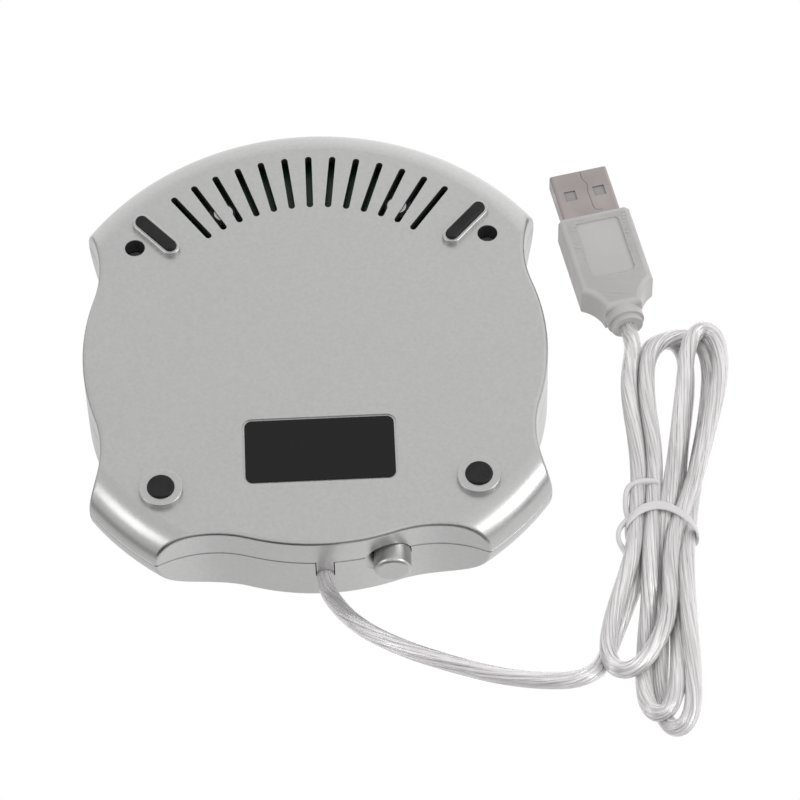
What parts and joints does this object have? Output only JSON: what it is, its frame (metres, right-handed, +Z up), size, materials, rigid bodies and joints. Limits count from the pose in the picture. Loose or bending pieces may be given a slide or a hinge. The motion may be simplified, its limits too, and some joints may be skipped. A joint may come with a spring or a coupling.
{
  "type": "electric mug warmer",
  "caption": "Round USB mug warmer and socket hub with an aluminium heating plate, a push button, rubber feet and a tied clear lead with its plug.",
  "frame": {"origin": "middle of the warmer's footprint on the table, without the free lead", "axes": "+Z up through the heating plate; +Y towards the push button and the lead, -Y towards the sockets; +X to the right seen from the sockets' side"},
  "size_m": [0.1308, 0.1521, 0.0216],
  "materials": {
    "silver_shell": "satin silver paint on moulded plastic",
    "plate_aluminium": "turned and brushed",
    "silicone": "moulded silicone",
    "heater_film": "amber film",
    "insulation_felt": "pressed fibre",
    "plated_steel": "zinc plated",
    "fuse_body": "glazed case",
    "wire_red": "extruded",
    "wire_black": "extruded",
    "board_green": "solder mask",
    "socket_shell": "tin plated",
    "socket_plastic": "moulded",
    "contact_gold": "gold flash",
    "chip_black": "moulded resin",
    "capacitor_sleeve": "shrink sleeve",
    "lamp_clear": "clear moulded lens",
    "switch_plastic": "moulded nylon",
    "spring_steel": "drawn wire",
    "button_silver": "satin silver paint",
    "clamp_plastic": "moulded nylon",
    "clear_jacket": "clear jacket over a tinned braid",
    "wire_insulation": "extruded",
    "tie_white": "soft plastic",
    "plug_grey": "moulded soft plastic",
    "plug_steel": "nickel plated",
    "plug_insulator": "moulded",
    "foot_rubber": "moulded rubber",
    "label_black": "printed film, left bare"
  },
  "bodies": {
    "housing": {"base_shell": "silver_shell", "board_screws": "plated_steel", "case_screws_front": "plated_steel", "case_screws_rear": "plated_steel", "cord_clamp": "clamp_plastic", "cord_clamp_screws": "plated_steel", "cord_hank": "clear_jacket", "cord_inner_tail": "clear_jacket", "cord_plug_tail": "clear_jacket", "cord_tie": "tie_white", "cord_wires": "wire_insulation", "crystal_can": "plated_steel", "filter_capacitors": "capacitor_sleeve", "heater_film": "heater_film", "heater_lead_negative": "wire_black", "heater_lead_positive": "wire_red", "heating_plate": "plate_aluminium", "hub_board": "board_green", "hub_controller": "chip_black", "insulation_disc": "insulation_felt", "led_window": "lamp_clear", "plate_clamp": "plated_steel", "plate_clamp_screws": "plated_steel", "plate_gasket": "silicone", "plug_contacts": "contact_gold", "plug_insulator": "plug_insulator", "plug_overmold": "plug_grey", "plug_shell": "plug_steel", "rating_label": "label_black", "round_foot_left": "foot_rubber", "round_foot_right": "foot_rubber", "status_led": "lamp_clear", "strip_foot_left": "foot_rubber", "strip_foot_right": "foot_rubber", "switch_housing": "switch_plastic", "switch_spring": "spring_steel", "thermal_fuse": "fuse_body", "top_shell": "silver_shell", "usb_cord": "clear_jacket", "usb_port_1_contacts": "contact_gold", "usb_port_1_shell": "socket_shell", "usb_port_1_tongue": "socket_plastic", "usb_port_2_contacts": "contact_gold", "usb_port_2_shell": "socket_shell", "usb_port_2_tongue": "socket_plastic", "usb_port_3_contacts": "contact_gold", "usb_port_3_shell": "socket_shell", "usb_port_3_tongue": "socket_plastic", "usb_port_4_contacts": "contact_gold", "usb_port_4_shell": "socket_shell", "usb_port_4_tongue": "socket_plastic", "wire_header": "switch_plastic"},
    "button": {"power_button": "button_silver", "switch_plunger": "switch_plastic"}
  },
  "joints": [
    {"name": "power_button_press", "type": "slide", "parent": "housing", "child": "button", "axis": [0, -1, 0], "range_m": [0, 0.0023], "stiffness_N_per_m": 300, "springref_m": -0.002, "deforming": ["switch_spring"]}
  ]
}
